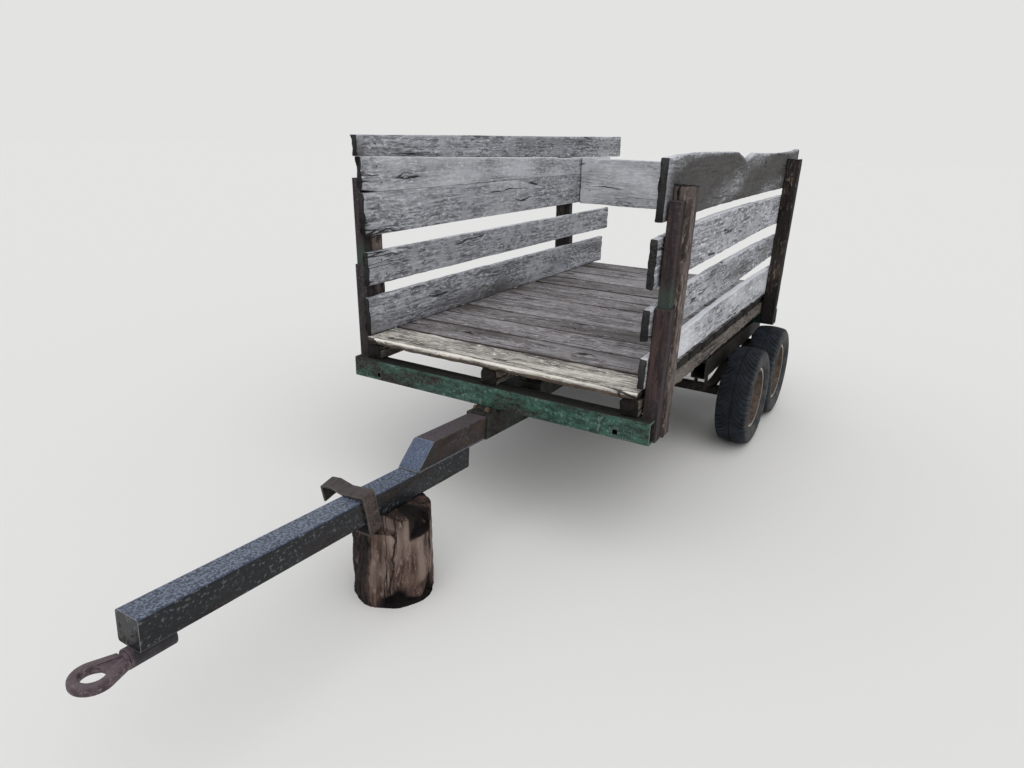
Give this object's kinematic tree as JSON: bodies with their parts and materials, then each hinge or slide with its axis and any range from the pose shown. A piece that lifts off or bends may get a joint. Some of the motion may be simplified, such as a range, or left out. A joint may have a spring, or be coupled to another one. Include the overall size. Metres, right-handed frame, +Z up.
{
  "type": "timber trailer",
  "caption": "Farm trailer with a plank bed and slatted plank sides on a steel frame, tandem wheels that turn freely, and a stepped box drawbar with a towing eye, propped on a log.",
  "frame": {"origin": "on the ground, halfway along and across the trailer", "axes": "+X forward to the towing eye, +Y to the trailer's left, +Z up"},
  "size_m": [4.9996, 1.8014, 1.7184],
  "materials": {
    "green_paint": "weathered green enamel with rust",
    "black_paint": "weathered black enamel with rust",
    "rusty_steel": "dull brown rust",
    "grey_wood": "silver-grey weathered planks",
    "dark_wood": "dark weathered posts",
    "log_wood": "rotting trunk without bark",
    "tyre_rubber": "worn black rubber",
    "rim_paint": "dirty off-white enamel with rust"
  },
  "bodies": {
    "chassis": {"axle_front": "black_paint", "axle_rear": "black_paint", "bearer_centre": "grey_wood", "bearer_left": "grey_wood", "bearer_right": "grey_wood", "bed_plank_front": "grey_wood", "bed_planks": "grey_wood", "drawbar_lower_tube": "black_paint", "drawbar_socket": "green_paint", "drawbar_upper_tube": "black_paint", "front_beam": "green_paint", "leaf_springs_left": "black_paint", "leaf_springs_right": "black_paint", "left_board_1": "grey_wood", "left_board_2": "grey_wood", "left_board_3": "grey_wood", "left_board_4": "grey_wood", "middle_beam": "green_paint", "prop_log": "log_wood", "rear_beam": "green_paint", "rear_cross_board": "grey_wood", "right_board_1": "grey_wood", "right_board_2": "grey_wood", "right_board_3": "grey_wood", "right_board_4": "grey_wood", "right_board_5": "grey_wood", "side_rail_left": "black_paint", "side_rail_right": "black_paint", "spine": "green_paint", "stake_sleeve_front_left": "rusty_steel", "stake_sleeve_front_right": "rusty_steel", "stake_sleeve_rear_left": "rusty_steel", "stake_sleeve_rear_right": "rusty_steel", "steel_stake_front_left": "rusty_steel", "steel_stake_front_right": "rusty_steel", "steel_stake_rear_left": "rusty_steel", "steel_stake_rear_right": "rusty_steel", "strap_hook": "rusty_steel", "tow_eye": "rusty_steel", "wooden_post_front_left": "dark_wood", "wooden_post_front_right": "dark_wood", "wooden_post_rear_left": "dark_wood", "wooden_post_rear_right": "dark_wood"},
    "wheel_front_left": {"tyre_front_left": "tyre_rubber", "rim_front_left": "rim_paint"},
    "wheel_front_right": {"tyre_front_right": "tyre_rubber", "rim_front_right": "rim_paint"},
    "wheel_rear_left": {"tyre_rear_left": "tyre_rubber", "rim_rear_left": "rim_paint"},
    "wheel_rear_right": {"tyre_rear_right": "tyre_rubber", "rim_rear_right": "rim_paint"}
  },
  "joints": [
    {"name": "wheel_front_left_spin", "type": "hinge", "parent": "chassis", "child": "wheel_front_left", "pos_m": [-0.99569, 0.805, 0.289], "axis": [0, 1, 0], "continuous": true},
    {"name": "wheel_front_right_spin", "type": "hinge", "parent": "chassis", "child": "wheel_front_right", "pos_m": [-0.99569, -0.805, 0.289], "axis": [0, 1, 0], "continuous": true},
    {"name": "wheel_rear_left_spin", "type": "hinge", "parent": "chassis", "child": "wheel_rear_left", "pos_m": [-1.59068, 0.805, 0.289], "axis": [0, 1, 0], "continuous": true},
    {"name": "wheel_rear_right_spin", "type": "hinge", "parent": "chassis", "child": "wheel_rear_right", "pos_m": [-1.59068, -0.805, 0.289], "axis": [0, 1, 0], "continuous": true}
  ]
}
